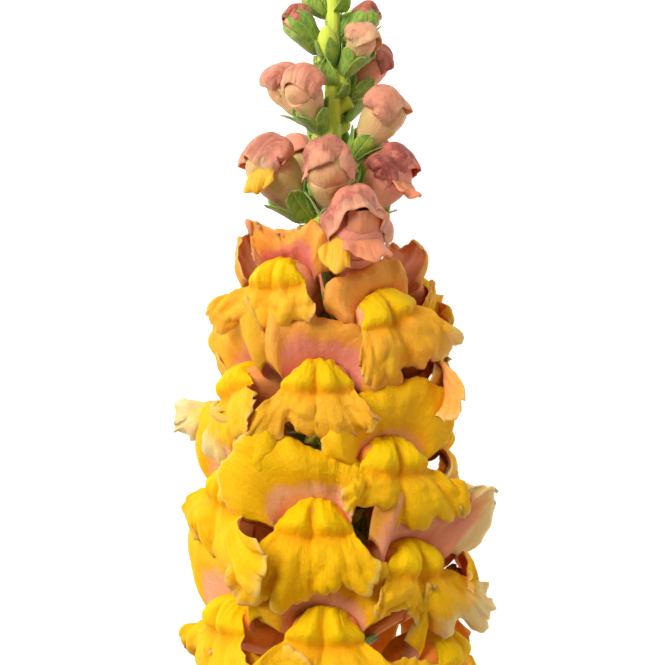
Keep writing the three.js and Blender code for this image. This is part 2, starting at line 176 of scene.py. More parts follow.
def wave(x, y, seed):
    """Smooth noise from about -1 to 1 that never repeats."""
    return 1.6 * noise.noise(Vector((x, y, 7.3 * seed + 0.5)))


def smooth(low, high, x):
    """0 at low, 1 at high, and an even slope between."""
    t = min(max((x - low) / (high - low), 0), 1)
    return t * t * (3 - 2 * t)


def new_mesh():
    bm = bmesh.new()
    for name in LAYERS:
        bm.verts.layers.float.new(name)
    return bm


def marks_of(bm):
    return {name: bm.verts.layers.float[name] for name in LAYERS}


def paint(marks, vert, **values):
    for name, value in values.items():
        vert[marks[name]] = value


def keep_up(point):
    """No point lies lower than the surface."""
    point.z = max(point.z, LOWEST)
    return point


# %% [markdown]
# ### A sheet
# A petal is a sheet that thins out to its edge. The grid's points go to their places, then along
# their normals by the ruffle, and the extrude operator adds the back, which keeps it closed.

# %% A sheet
EDGE_THINNING = 0.65


def around(verts, kind):
    """The link_edges or link_faces of these points, each once."""
    return list(dict.fromkeys(item for vert in verts for item in getattr(vert, kind)))


def add_sheet(bm, across, along, shape, thick, ruffle=None, look_at=None, **look):
    """A closed sheet over shape(side, reach), with ruffle(side, reach) along its normals."""
    marks = marks_of(bm)
    verts = bmesh.ops.create_grid(bm, x_segments=across, y_segments=along, size=1.0)["verts"]
    spots = {vert: (vert.co.x, (vert.co.y + 1) / 2) for vert in verts}
    for vert, (side, reach) in spots.items():
        vert.co = shape(side, reach)
        paint(marks, vert, side=side, reach=reach, **look)
        if look_at:
            paint(marks, vert, **look_at(side, reach))
    bm.normal_update()
    if ruffle:
        for vert, (side, reach) in spots.items():
            vert.co += vert.normal * ruffle(side, reach)
    for vert in verts:
        keep_up(vert.co)
    bm.normal_update()
    front = around(verts, "link_faces")
    copied = bmesh.ops.extrude_face_region(bm, geom=front, use_keep_orig=True)["geom"]
    backs = [item for item in copied if isinstance(item, bmesh.types.BMVert)]
    bm.normal_update()
    for vert in backs:
        rim = max(abs(vert[marks["side"]]), vert[marks["reach"]])
        vert.co = keep_up(vert.co - vert.normal * thick * (1 - EDGE_THINNING * rim**12))
        paint(marks, vert, outer=1)


# %% [markdown]
# ### A skin
# A ball's net has a pole at each end, so a tube or a stem drawn from it is closed by itself.

# %% A skin
def add_skin(bm, sides, rings, shape, **look):
    """A closed skin: shape(angle, way) with way from 0 at one pole to 1 at the other."""
    marks = marks_of(bm)
    verts = bmesh.ops.create_uvsphere(bm, u_segments=sides, v_segments=rings, radius=1.0)["verts"]
    for vert in verts:
        angle = atan2(vert.co.y, vert.co.x) % (2 * pi)
        way = 1 - acos(min(max(vert.co.z, -1), 1)) / pi
        vert.co = keep_up(shape(angle, way))
        paint(marks, vert, side=abs(angle / pi - 1), reach=way, outer=1, **look)


# %% [markdown]
# ### Down
# Stem, cups and buds are downy. Blender's hair would do, but it isn't a mesh. Here each hair is a
# three-sided cone as thin as a thread, on a face picked at random. The extrude operator leaves the
# faces in another order each time the script runs, so they are sorted before any is picked.

# %% Down
HAIR_POINTS = 4
HAIR_RADIUS = 0.05
HAIR_TILT = 0.35


def equal_hairs(bm, count):
    """The tips of at least "count" hairs: one hair, doubled until there are enough."""
    hair = bmesh.ops.create_cone(
        bm, cap_ends=True, segments=HAIR_POINTS - 1, radius1=HAIR_RADIUS, radius2=0, depth=2
    )
    hairs = list(hair["verts"])
    while len(hairs) < HAIR_POINTS * count:
        grown = [*hairs, *around(hairs, "link_edges"), *around(hairs, "link_faces")]
        copies = bmesh.ops.duplicate(bm, geom=grown)["geom"]
        hairs += [item for item in copies if isinstance(item, bmesh.types.BMVert)]
    return [vert for vert in hairs if vert.co.z > 0.9]


def feet_of(tip):
    return [edge.other_vert(tip) for edge in tip.link_edges]


def rank(marks, face):
    """What sorts the faces: what their points remember, and where they are."""
    points = [[vert[marks[name]] for name in ("outer", "side", "reach")] for vert in face.verts]
    return sorted(points), *face.calc_center_median()


def add_down(bm, count, long, random):
    """Fine hairs on "count" faces picked at random, about "long" each."""
    bmesh.ops.recalc_face_normals(bm, faces=bm.faces)
    marks = marks_of(bm)
    faces = sorted(bm.faces, key=functools.partial(rank, marks))
    roots = [faces[random.randrange(len(faces))] for _ in range(count)]
    spots = [(face.calc_center_median(), face.normal.copy()) for face in roots]
    tips = equal_hairs(bm, count)
    for tip, (root, way) in zip(tips, spots):
        lean = Vector([random.gauss(0, HAIR_TILT) for _ in range(3)])
        across = way.orthogonal()
        for foot in feet_of(tip):
            foot.co = keep_up(root + across * foot.co.x + way.cross(across) * foot.co.y)
            paint(marks, foot, side=1, lip=1, pale=1)
        tip.co = keep_up(root + (way + lean) * long * random.uniform(0.6, 1.3))
        paint(marks, tip, side=1, lip=1, pale=1)
    spare = [vert for tip in tips[count:] for vert in (tip, *feet_of(tip))]
    bmesh.ops.delete(bm, geom=spare, context="VERTS")


# %% [markdown]
# ### A piece of the plant
# Everything so far is in millimetres.

# %% A piece of the plant
def finish_piece(bm, name, material, slot, *nodes):
    """Turns the mesh to metres and makes it the piece that stands for these CAD nodes."""
    bmesh.ops.recalc_face_normals(bm, faces=bm.faces)
    bmesh.ops.scale(bm, vec=(MM, MM, MM), verts=bm.verts)
    for face in bm.faces:
        face.smooth = True
    mesh = bpy.data.meshes.new(name)
    bm.to_mesh(mesh)
    bm.free()
    mesh.materials.append(material)
    piece = bpy.data.objects.new(name, mesh)
    bpy.context.collection.objects.link(piece)
    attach(piece, "root")
    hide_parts(*nodes)
    return piece


# %% [markdown]
# ## Shader maths that reads like maths
# A net with many maths nodes is hard to read in code. A small class wraps a socket, so that
# `edge * 2 + 1` adds the nodes by itself. Colours are mixed by a Mix node, and every other node
# comes from one method that takes its type, settings and inputs.

# %% A small language for materials
def colour(code):
    """A web colour as Blender's linear red, green, blue and alpha."""
    parts = [int(code[i:i + 2], 16) / 255 for i in (1, 3, 5)]
    return (*[c / 12.92 if c < 0.04045 else ((c + 0.055) / 1.055) ** 2.4 for c in parts], 1.0)


class Wire:
    """A socket with the signs of arithmetic."""

    def __init__(self, paper, socket):
        self.paper, self.socket = paper, socket

    def join(self, operation, *values, clamp=False):
        settings = {"operation": operation, "use_clamp": clamp}
        return self.paper.node("ShaderNodeMath", settings, dict(enumerate(values)))

    def __add__(self, other):
        return self.join("ADD", self, other)

    def __sub__(self, other):
        return self.join("SUBTRACT", self, other)

    def __rsub__(self, other):
        return self.join("SUBTRACT", other, self)

    def __mul__(self, other):
        return self.join("MULTIPLY", self, other)

    def __pow__(self, other):
        return self.join("POWER", self, other)

    def limited(self):
        return self.join("ADD", self, 0.0, clamp=True)

    __radd__ = __add__
    __rmul__ = __mul__


class Paper:
    """The node sheet of one material, with its Principled shader."""

    def __init__(self, name, **settings):
        self.material = bpy.data.materials.new(name)
        self.material.use_nodes = True
        self.tree = self.material.node_tree
        self.shader = self.tree.nodes["Principled BSDF"]
        for socket, value in settings.items():
            self.shader.inputs[socket.replace("_", " ")].default_value = value

    def node(self, kind, settings=None, inputs=None, output=0):
        made = self.tree.nodes.new(kind)
        for name, value in (settings or {}).items():
            setattr(made, name, value)
        for key, value in (inputs or {}).items():
            if isinstance(value, Wire):
                self.tree.links.new(value.socket, made.inputs[key])
            else:
                made.inputs[key].default_value = value
        return Wire(self, made.outputs[output])

    def layer(self, name):
        """What the points of the mesh remember under this name."""
        return self.node("ShaderNodeAttribute", {"attribute_name": name}, output="Fac")

    def places(self, scale=(1, 1, 1)):
        """The place on the plant, in mm, stretched by a scale."""
        spot = self.node("ShaderNodeTexCoord", output="Object")
        size = tuple(s / MM for s in scale)
        return self.node("ShaderNodeMapping", inputs={"Vector": spot, "Scale": size})

    def joined(self, *values):
        """A place made of numbers, for noise that follows the petal."""
        return self.node("ShaderNodeCombineXYZ", inputs=dict(enumerate(values)))

    def grain(self, where, scale, detail=3.0, rough=0.5):
        """Cloudy noise from 0 to 1."""
        inputs = {"Vector": where, "Scale": scale, "Detail": detail, "Roughness": rough}
        return self.node("ShaderNodeTexNoise", inputs=inputs, output="Fac")

    def ramp(self, value, low, high):
        """0 below low, 1 above high, and an even slope between."""
        inputs = {"Value": value, "From Min": low, "From Max": high}
        settings = {"interpolation_type": "SMOOTHSTEP"}
        return self.node("ShaderNodeMapRange", settings, inputs)

    def mix(self, share, first, second):
        """The first colour where share is 0, the second where it is 1."""
        inputs = {0: share, 6: first, 7: second}
        return self.node("ShaderNodeMix", {"data_type": "RGBA"}, inputs, output=2)

    def bump(self, height, distance, strength=1.0):
        """Lets a height in mm shade as relief."""
        inputs = {"Height": height, "Distance": distance * MM, "Strength": strength}
        self.feed("Normal", self.node("ShaderNodeBump", inputs=inputs))

    def feed(self, socket, wire):
        self.tree.links.new(wire.socket, self.shader.inputs[socket])


# %% [markdown]
# ## The petal's finish
# A snapdragon petal is thin and velvety. Light goes into it and comes out warmer, which the
# shader's subsurface weight does, and its fine hairs catch a soft sheen. Its lips are golden where
# they face you, with a pink throat, and salmon outside; the swelling that closes the mouth is the
# brightest yellow of all. Young blooms at the top are more peach, and the edges of old ones fade
# to cream. Two marks are painted light: orange painted shade deep in the throat and in the
# lower lip's groove and crease, and a painted highlight in a thin band along every edge. The
# values that each point remembers decide which of these a spot gets, and noise stretched along
# the petal draws its veins.

# %% Petal material
YELLOW = colour("#f5c400")
GOLD = colour("#f5bb06")
PEACH = colour("#f5a350")
SALMON = colour("#e89f76")
PINK = colour("#d4706a")
TUBE = colour("#f7ad74")
APRICOT = colour("#ff9a2e")
ROSE = colour("#efb088")
CREAM = colour("#ecd690")
ORANGE = colour("#ec7f04")


def petal_material():
    paper = Paper(
        "petal",
        Subsurface_Weight=0.35,
        Subsurface_Radius=(1.0, 0.35, 0.04),
        Subsurface_Scale=1.3 * MM,
        Specular_IOR_Level=0.1,
    )
    side, reach, outer = paper.layer("side"), paper.layer("reach"), paper.layer("outer")
    lip, young, pale = paper.layer("lip"), paper.layer("young"), paper.layer("pale")
    deep, spot = paper.layer("deep"), paper.places()
    cloud = paper.grain(spot, 0.16, 4.0)
    veins = paper.grain(paper.joined(side * 26, reach * 1.7, lip * 5 + young * 31), 1.0, 3.0, 0.6)
    threads = paper.ramp(veins, 0.46, 0.64)

    # Gold, peach on young upper lips, with orange threads, a yellow swelling, and orange painted shade deep
    # in the throat, groove and crease.
    upper = 1 - paper.ramp(lip, 1.2, 1.8)
    peachy = young * (upper * 0.7 + 0.5) + (cloud - 0.5) * 0.6 * (young * 1.5 + 0.2)
    golden = paper.mix(peachy.limited(), GOLD, PEACH)
    golden = paper.mix((threads * 0.18).limited(), golden, ORANGE)
    swelling = (1 - paper.ramp(reach, 0.36, 0.55)) * (1 - upper)
    golden = paper.mix((swelling * 0.9).limited(), golden, YELLOW)
    velvet = paper.grain(spot, 3.6, 3.0)
    golden = paper.mix((paper.ramp(velvet, 0.45, 0.75) * 0.22).limited(), golden, ORANGE)
    # painted shade: orange where deep marks the throat, the groove between the humps and the crease
    golden = paper.mix((deep * 0.5).limited(), golden, ORANGE)

    # The pink throat on the face, the salmon back, and over both the faded edge and a painted highlight, a
    # thin lighter band along every edge.
    throat = paper.ramp(deep + (cloud - 0.5) * 0.8 + (veins - 0.5) * 0.3, 0.25, 0.9) * upper
    blush = paper.mix((young * 1.3).limited(), ROSE, PINK)
    face = paper.mix((throat * 0.9).limited(), golden, blush)
    back = paper.mix((threads * 0.25 + young * 0.3).limited(), SALMON, PINK)
    back = paper.mix((paper.ramp(reach, 0.4, 0.9) * 0.75 * (1 - young)).limited(), back, golden)
    is_back = outer * paper.ramp(lip, 0.5, 0.9)
    lips = paper.mix(is_back, face, back)
    edge = paper.ramp(reach + (cloud - 0.5) * 0.5, 1.0 - 0.45 * pale, 1.12 - 0.2 * pale)
    # painted highlight: the outermost band of every petal turns lighter, as if its thin edge caught the
    # light
    rim = paper.ramp(reach, 0.93, 1.0) * 0.35
    faded_and_lit_edge = paper.mix((veins * 0.45).limited(), CREAM, SALMON)
    lips = paper.mix((edge * pale * 1.3 + rim).limited(), lips, faded_and_lit_edge)

    # The tube, and the relief of veins, velvet and fine creases on everything.
    ripe = paper.mix((young * 1.6).limited(), APRICOT, TUBE)
    tube = paper.mix((cloud * 0.5 * young + threads * 0.3).limited(), ripe, SALMON)
    paper.feed("Base Color", paper.mix(paper.ramp(lip, 0.4, 0.6), tube, lips))
    paper.feed("Roughness", 0.5 + cloud * 0.2)
    crepe = paper.grain(spot, 1.1, 4.0, 0.65)
    paper.bump(veins * 0.4 + velvet * 0.6 + crepe * 1.1, 0.4, 0.75)
    return paper.material


PETAL = petal_material()
print("nodes in the petal's material", len(PETAL.node_tree.nodes))

# %% [markdown]
# ## The tube of a bloom
# The corolla starts as a tube in its green cup and widens to the mouth. The tube is a row of
# rings, each with its place, width and height, with a smooth curve drawn through them, and it
# ends in a dome behind the lips.

# %% Tube
# Each ring: its r and a, half its width across and half its height.
BLOOM_RINGS = (
    (6.4, 1.8, 0, 0),
    (7.2, 2.8, 2.1, 2.0),
    (15.0, 9.6, 5.8, 5.2),
    (16.6, 10.6, 6.6, 5.6),
    (20.0, 11.8, 7.2, 5.6),
    (22.5, 12.0, 7.0, 5.0),
    (24.5, 11.8, 5.6, 4.0),
    (26.0, 11.5, 0, 0),
)
SLOPE_STEP = 0.4  # how far before and behind a ring its slope is measured
POLE = 0.2  # a ring narrower than this is an end of the tube


@functools.cache
def between(rings, where):
    """A ring between the rings of a list, on a smooth curve through them, ending in a dome."""
    last = len(rings) - 1
    where = min(max(where, 0), last)
    if where > last - 2:  # the dome: a quarter turn from the last full ring to the end
        lean = (where - last + 2) * pi / 4
        start, end = rings[last - 2], rings[last]
        middle = [s + (e - s) * sin(lean) for s, e in zip(start[:2], end[:2])]
        return (*middle, start[2] * cos(lean) ** 0.8, start[3] * cos(lean) ** 0.8)
    k = min(int(where), last - 1)
    f = where - k
    before, start, end, after = (rings[min(max(k + i, 0), last)] for i in (-1, 0, 1, 2))
    blend = (-f + 2 * f**2 - f**3, 2 - 5 * f**2 + 3 * f**3, f + 4 * f**2 - 3 * f**3, f**3 - f**2)
    rows = zip(before, start, end, after)
    return tuple(sum(b * p for b, p in zip(blend, row)) / 2 for row in rows)


def skin_point(flower, rings, angle, where, more=0):
    """A point on the skin of a tube of rings, "more" out from it."""
    r, a, wide, high = between(rings, where)
    r0, a0 = between(rings, where - SLOPE_STEP)[:2]
    r1, a1 = between(rings, where + SLOPE_STEP)[:2]
    slope = atan2(a1 - a0, r1 - r0)
    across = (max(wide, 0) + (more if wide > POLE else 0)) * cos(angle)
    up = (max(high, 0) + (more if high > POLE else 0)) * sin(angle)
    ahead = more if wide <= POLE and where > 1 else 0
    r += ahead * cos(slope) - up * sin(slope)
    a += ahead * sin(slope) + up * cos(slope)
    return place(flower, across, r, a)


def add_tube(bm, flower):
    """The tube of a bloom, with ten faint ribs."""
    last = len(BLOOM_RINGS) - 1

    def shape(angle, way):
        ribs = 0.12 * cos(10 * angle) * sin(pi * way)
        return skin_point(flower, BLOOM_RINGS, angle, round(last * way, 3), ribs)

    add_skin(bm, 40, 28, shape, young=flower["young"])


print("rings", len(BLOOM_RINGS), "widest", 2 * max(ring[2] for ring in BLOOM_RINGS), "mm")

# %% [markdown]
# ## The lips of a bloom
# Each lip is one sheet. A path that leaves the mouth in one direction and bends to another gives
# its profile, and a fan of such paths gives its width.

# %% Paths
STEPS = 24


@functools.cache
def path(start, end, roll):
    """A line of length 1 that turns from start to end degrees, and rolls up at its end."""
    points = [(0.0, 0.0)]
    for step in range(STEPS):
        t = (step + 0.5) / STEPS
        heading = radians(start + (end - start) * t + roll * t**6)
        ahead, away = points[-1]
        points.append((ahead + cos(heading) / STEPS, away + sin(heading) / STEPS))
    return points


def along_path(start, end, roll, reach):
    """The point of a path at reach from 0 to 1."""
    points = path(round(start, 1), round(end, 1), round(roll, 1))
    k = min(int(reach * STEPS), STEPS - 1)
    f = reach * STEPS - k
    (x0, y0), (x1, y1) = points[k], points[k + 1]
    return x0 + (x1 - x0) * f, y0 + (y1 - y0) * f


def shared(flower, name, side, normal):
    """A value that may differ between a flower's left and right lobe."""
    value = flower.get(name, normal)
    left, right = value if isinstance(value, tuple) else (value, value)
    return left + (right - left) * smooth(-0.35, 0.35, side)


print("a path bent by 90 degrees ends at", [round(c, 2) for c in along_path(0, 90, 0, 1)])

# %% [markdown]
# ### The upper lip
# It stands up from the mouth as two round lobes that roll back, with a cleft between them. A
# little noise makes the edge ragged, each flower in its own way.

# %% Upper lip
MOUTH_HALF = 6.4  # half the width of the mouth
UPPER_R, UPPER_A, UPPER_ARCH = 16.2, 10.2, 5.5  # where the lip starts, and how it arches


def upper_lip(flower, side, reach):
    """Two lobes that stand up from the mouth and roll back."""
    seed = flower["seed"]
    ragged = 1 + 0.09 * wave(1.5 * side, 0, seed) + 0.05 * wave(6 * side, 3, seed)
    ragged += 0.025 * wave(20 * side, 5, seed)
    cleft = flower.get("cleft", 0.2) * cos(0.9 * pi * side) ** 2
    outline = (1 - 0.36 * abs(side) ** 6) * (1 - cleft) * ragged
    long = flower.get("upper", 19) * outline * shared(flower, "lobes", side, 1)
    end = flower.get("curl", 106) + shared(flower, "bend", side, 0)
    start = 4 + shared(flower, "lean", side, 0)
    ahead, away = along_path(start, end, shared(flower, "roll_up", side, 35), reach)
    fan = radians(shared(flower, "fan", side, 52) * side + flower.get("tilt", 0) * reach)
    fold = flower.get("fold", 1)
    x = MOUTH_HALF * sin(pi / 2 * side) + long * away * sin(fan)
    x += 1.4 * reach**2 * wave(1.2 * side, 1.5 * reach, seed + 0.2)
    r = UPPER_R + shared(flower, "out", side, 0) + 0.95 * long * ahead
    r += fold * (1.6 * sin(pi * reach) * cos(pi * side) ** 2 - 1.2 * side**4 * reach)
    a = UPPER_A + UPPER_ARCH * cos(pi / 2 * side) + long * (0.47 * ahead + away * cos(fan))
    return place(flower, x, r, a)


# %% [markdown]
# ### The lower lip
# It first swells into two yellow humps with a groove between them, which keep the mouth shut so
# that only a bee can push it open, and then spreads as three frilled lobes.

# %% Lower lip
HUMPS = 0.45  # the share of the sheet that makes the swelling
LOWER_R, LOWER_A = 22.2, 12.2  # the middle of the swelling


def swelling(side, share):
    """The two humps: across, out and up from the middle of the mouth, from top to crease."""
    lean = radians(68) * side
    turn = radians(122 - 146 * share)
    top = max(sin(turn), 0)
    across = 8.9 * sin(lean) * (1 - 0.4 * top**1.3)
    lump = exp(-(((abs(across) - 3.6) / 2.3) ** 2))
    groove = exp(-((across / 0.8) ** 2)) * (1 - 0.55 * share)
    out = cos(lean) ** 0.8 * (5.0 + 1.3 * lump - 1.5 * groove)
    chin = 0.7 * exp(-(((share - 0.72) / 0.16) ** 2)) * lump
    return across, out * cos(turn) + chin, 5.6 * cos(lean) ** 0.7 * sin(turn) - 0.5 * chin


def lower_lip(flower, side, reach):
    """The swelling, and below its crease three spread lobes."""
    seed = flower["seed"] + 0.37
    across, out, up = swelling(side, min(reach / HUMPS, 1))
    spread = max(reach - HUMPS, 0) / (1 - HUMPS)
    notch = exp(-(((abs(side) - 0.4) / 0.1) ** 2))
    ragged = 1 + 0.16 * wave(1.6 * side, 0, seed) + 0.07 * wave(6 * side, 3, seed)
    ragged += 0.035 * wave(22 * side, 5, seed)
    outline = (1 - 0.3 * abs(side) ** 8) * (1 - 0.22 * notch * spread**2) * ragged
    long = flower.get("lower", 11) * outline * (1 + 0.08 * side * side)
    long *= shared(flower, "skirts", side, 1)
    start = 66 - 26 * side * side
    end = flower.get("lower_curl", 132) - 34 * side * side
    ahead, away = along_path(start, end, shared(flower, "lower_roll", side, 20), spread)
    fan = radians(flower.get("lower_fan", 46) * side + flower.get("veer", 0) * spread)
    crease = exp(-(((reach - HUMPS) / 0.05) ** 2))
    x = across + long * away * sin(fan)
    x += 1.6 * spread * wave(1.1 * side, 1.5 * spread, seed + 0.2)
    r = LOWER_R + out + 0.95 * long * ahead - 0.45 * crease * (1 - side**4)
    a = LOWER_A + up - long * away * cos(fan)
    return place(flower, x, r, a)


# %% [markdown]
# ### Ruffles
# A petal grows faster at its edge than inside, so the edge has to wave. Slow and fast noise that
# grows with the reach does the same, and dents and sharp folds keep the middle from being smooth.

# %% Ruffles
def upper_ruffle(flower, side, reach):
    """How far a point of the upper lip moves along its normal."""
    seed = flower["seed"] + 0.11
    edge = reach**3
    slow = 1.5 * wave(1.5 * side, 0.8 * reach, seed)
    fast = 0.7 * wave(5 * side, 1.2 * reach, seed) + 0.5 * edge * wave(11 * side, reach, seed)
    crease = -0.6 * exp(-((side / 0.1) ** 2)) * sin(pi * reach)
    dents = 0.2 * wave(3 * side, 4 * reach, seed) + 0.1 * wave(9 * side, 12 * reach, seed)
    folds = 1.3 * reach * abs(wave(2.4 * side, 2.2 * reach, seed + 0.5))
    frill = flower.get("frill", 1) * edge * (slow + fast)
    return flower.get("size", 1) * (frill + 0.5 * slow * reach + crease + dents - folds)


def lower_ruffle(flower, side, reach):
    """The same for the lower lip, which is wavier."""
    seed = flower["seed"] + 0.71
    spread = max(reach - HUMPS, 0) / (1 - HUMPS)
    slow = 2.2 * wave(2.0 * side, 0.5 * spread, seed)
    fast = 1.5 * wave(6 * side, 0.8 * spread, seed)
    tiny = 1.2 * wave(12 * side, spread, seed)
    dents = 0.34 * wave(4 * side, 6 * reach, seed) + 0.14 * wave(9 * side, 16 * reach, seed)
    folds = 1.3 * smooth(0, 0.5, spread) * abs(wave(3 * side, 3 * reach, seed + 0.5))
    frill = flower.get("frill", 1) * (spread * slow + spread**2 * fast + spread**4 * tiny)
    return flower.get("size", 1) * (frill + dents - folds)


# %% [markdown]
# ## Room for neighbours
# The flowers sit so close that a petal touches the swelling of the next bloom. Real petals slide
# over it. Here a point that would end up inside a neighbour's swelling moves out to its surface.

# %% Slide over the neighbours
SWELL_MIDDLE = (0, 22.6, 12)
SWELL_RADIUS = 7.0
NEIGHBOUR = 42  # flowers further apart than this can't touch


def slide_over(flower, shape):
    """The shape with its points moved out of the swellings of other flowers."""
    balls = [
        (other["centre"], SWELL_RADIUS * other.get("size", 1))
        for other in BLOOMS
        if other is not flower and (other["centre"] - flower["centre"]).length < NEIGHBOUR
    ]

    def moved(side, reach):
        point = shape(flower, side, reach)
        for centre, radius in balls:
            offset = point - centre
            if offset.length < radius:
                point = centre + offset * (radius / max(offset.length, 0.1))
        return point

    return moved


# %% [markdown]
# ### One bloom
# A tube and two lips make a bloom. The marks tell the material where the throat is.

# %% One bloom
LIPS = (  # shape, ruffle, mark, faces across and along the sheet, and its thickness
    ("upper", upper_lip, upper_ruffle, 1, (72, 32), 0.45),
    ("lower", lower_lip, lower_ruffle, 2, (80, 44), -0.45),
)


def petal_marks(flower, lip, side, reach):
    """How deep a point of a lip is, in the throat or the lower lip's groove and crease where orange shade is
    painted, and how faded.
    """
    young = flower["young"]
    if lip == "upper":
        low, high = flower.get("throat", (0.15 + 0.2 * young, 0.5 + 0.3 * young))
        deep = 1 - smooth(low, high, reach)
    else:
        groove = exp(-((side / 0.09) ** 2)) * smooth(HUMPS + 0.05, HUMPS - 0.1, reach)
        crease = exp(-(((reach - HUMPS) / 0.06) ** 2)) * (1 - side**4)
        deep = max(0.7 * groove, crease)
    return {"deep": deep, "pale": shared(flower, "pale_" + lip, side, 0.15)}


def bloom(flower):
    bm = new_mesh()
    add_tube(bm, flower)
    for lip, shape, ruffle, mark, grid, thick in LIPS:
        sheet, bend = slide_over(flower, shape), functools.partial(ruffle, flower)
        look_at = functools.partial(petal_marks, flower, lip)
        age = flower.get(lip + "_young", flower["young"])
        net = [round(faces * flower["fine"]) for faces in grid]
        add_sheet(bm, *net, sheet, thick, bend, look_at, lip=mark, young=age)
    return finish_piece(bm, flower["name"] + "_fine", PETAL, "petal", flower["name"])


# %% [markdown]
# ## Every bloom by itself
# The list repeats the places of the CAD model's blooms, "at" along the stem and "turn" degrees
# round it, and adds what makes each one look as it does. A pair is for its left and right side.
#
# - upper, lobes, cleft: how long the upper lip is, each lobe's share of it, and the cut between
# - lean, curl, bend, roll_up: where the upper lip heads first and last, and how its edge rolls
# - out, fan, tilt, fold: how far out it starts, how wide it spreads, its turn, its fold lengthwise
# - lower, skirts, lower_fan, lower_curl, lower_roll, veer: the same for the lower lip's lobes
# - young, upper_young, pale_upper, pale_lower, throat, frill: age, faded edges, pink and ruffles
#
# The first sixteen are the ones seen from above, with a finer net; the others fill the back.

# %% The blooms
SEEN_FROM_ABOVE = 16
BACK_FINENESS = 0.65  # of the nets of the other blooms
BLOOMS = [
    dict(at=315, turn=-33, size=0.9, upper=13, fan=(34, 60), curl=88, cleft=0.3, lobes=(1.1, 1.4),
         bend=(-14, 40), frill=0.1, skirts=(1.35, 0.8), lower_fan=52, veer=-14, young=0.7),
    dict(at=308, turn=32, size=0.92, roll=-22, upper=14, out=3, lean=30, curl=160, roll_up=60,
         frill=0.6, throat=(0, 0.3), lower=13, skirts=(1.0, 1.2), lower_fan=40, lower_curl=134,
         young=0.75, pale_lower=(0.1, 0.45)),
    dict(at=293, turn=-8, size=0.96, upper=16, fan=(40, 100), out=(4, 3), curl=134, lean=32,
         cleft=0.25, lobes=(1.25, 1.2), bend=(-8, 30), roll_up=(80, 50), tilt=8, lower_fan=36,
         throat=(0.15, 0.62), young=0.6),
    dict(at=292, turn=-63, size=0.95, roll=-14, fan=(44, 60), curl=96, lobes=(0.9, 1.1),
         frill=1.5, skirts=(1.4, 1.0), lower_fan=78, veer=-26, lower_roll=0, young=0.3,
         pale_lower=(1.0, 0.1)),
    dict(at=276, turn=31, size=1.04, upper=17, fan=(76, 60), lobes=(1, 1.25), out=4, lean=30,
         curl=130, roll_up=50, frill=0.6, throat=(0, 0.4), lower=10, skirts=(0.85, 1.35),
         lower_fan=54, veer=6, young=0.05),
    dict(at=269, turn=-60, size=1.06, roll=12, out=4, lean=20, curl=136, roll_up=(20, 60),
         fan=(78, 52), lobes=(1.2, 1), frill=1.1, skirts=(1.1, 1.7), lower_fan=64, veer=16,
         young=0, pale_upper=(0.5, 0.1)),
    dict(at=263, turn=-9, size=1.04, upper=20, fan=(76, 36), out=4, lean=26, curl=118,
         lobes=(1.0, 0.85), bend=(0, 20), frill=0.4, fold=1.6, roll_up=(30, 60), tilt=-8,
         lower_fan=44, skirts=(1.4, 1.15), young=0),
    dict(at=254, turn=43, size=1.06, upper=20, fan=56, out=3, curl=110, lean=(10, -10),
         lobes=(0.8, 1.2), roll_up=(50, 20), tilt=38, skirts=(0.9, 1.6), lower_fan=60, veer=12,
         young=0.15, upper_young=0.35, throat=(0.3, 1.3), pale_upper=(0, 1), pale_lower=(0, 0.9)),
    dict(at=241, turn=-62, size=1.06, upper=18, roll=6, out=4, lean=20, curl=140, roll_up=(20, 60),
         fan=(82, 52), lobes=(1.3, 1), frill=1.3, skirts=(1.1, 1.8), lower_fan=66, veer=12, young=0,
         pale_upper=(0.5, 0)),
    dict(at=240, turn=-4, size=1.04, upper=18, fan=(80, 50), out=2, lean=14, curl=112, roll_up=50,
         skirts=(1.55, 1.45), lower_fan=52, young=0.08),
    dict(at=300, turn=80, size=0.92, upper=13, fan=40, roll=8, curl=70, lobes=(1.3, 1),
         skirts=(1.9, 0.9), lower_fan=40, lower_curl=110, young=0.2),
    dict(at=280, turn=86, size=0.95, roll=6, lobes=(1.2, 1), skirts=(1.3, 1), young=0.15,
         pale_lower=(0.6, 0.3), pale_upper=(0.5, 0.2)),
    dict(at=233, turn=73, size=1.08, roll=-6, young=0, pale_upper=(0.3, 0.3)),
    dict(at=257, turn=92, size=1.08, roll=10, young=0.1, pale_upper=(0.9, 0.9)),
    dict(at=216, turn=-36, upper=22, fan=(64, 60), out=3, lean=18, curl=96, young=0.1),
    dict(at=214, turn=24, upper=21, fan=(60, 70), out=2, lean=14, curl=96, young=0.05,
         pale_lower=(0.5, 0.2)),
    dict(at=313, turn=116, size=0.85, upper=13, young=0.7),
    dict(at=291, turn=132, size=0.95, roll=-8, young=0.4),
    dict(at=268, turn=138, roll=5, young=0.2, pale_upper=(0.3, 0.6)),
    dict(at=244, turn=130, roll=-7, young=0.1, pale_lower=(0.5, 0.5)),
    dict(at=304, turn=178, size=0.9, young=0.6),
    dict(at=277, turn=186, size=0.97, roll=6, young=0.3),
    dict(at=251, turn=182, roll=-8, young=0.1),
    dict(at=225, turn=176, young=0, pale_lower=(0.6, 0.3)),
    dict(at=311, turn=-122, size=0.87, young=0.7),
    dict(at=287, turn=-118, size=0.96, roll=7, young=0.4),
    dict(at=262, turn=-122, roll=-6, young=0.2, pale_upper=(0.4, 0.2)),
    dict(at=234, turn=-116, roll=8, young=0, pale_lower=(0.6, 0.6)),
]
for number, flower in enumerate(BLOOMS, 1):
    flower["name"] = f"bloom_{number:02}"
    flower["foot"] = flower["at"] - FACE * flower.get("size", 1)
    flower["seed"] = 1.9 * number
    flower["fine"] = 1.0 if number <= SEEN_FROM_ABOVE else BACK_FINENESS
    flower["centre"] = place(flower, *SWELL_MIDDLE)

bloom_pieces = [bloom(flower) for flower in BLOOMS]
print("blooms", len(bloom_pieces), "faces", sum(len(p.data.polygons) for p in bloom_pieces))

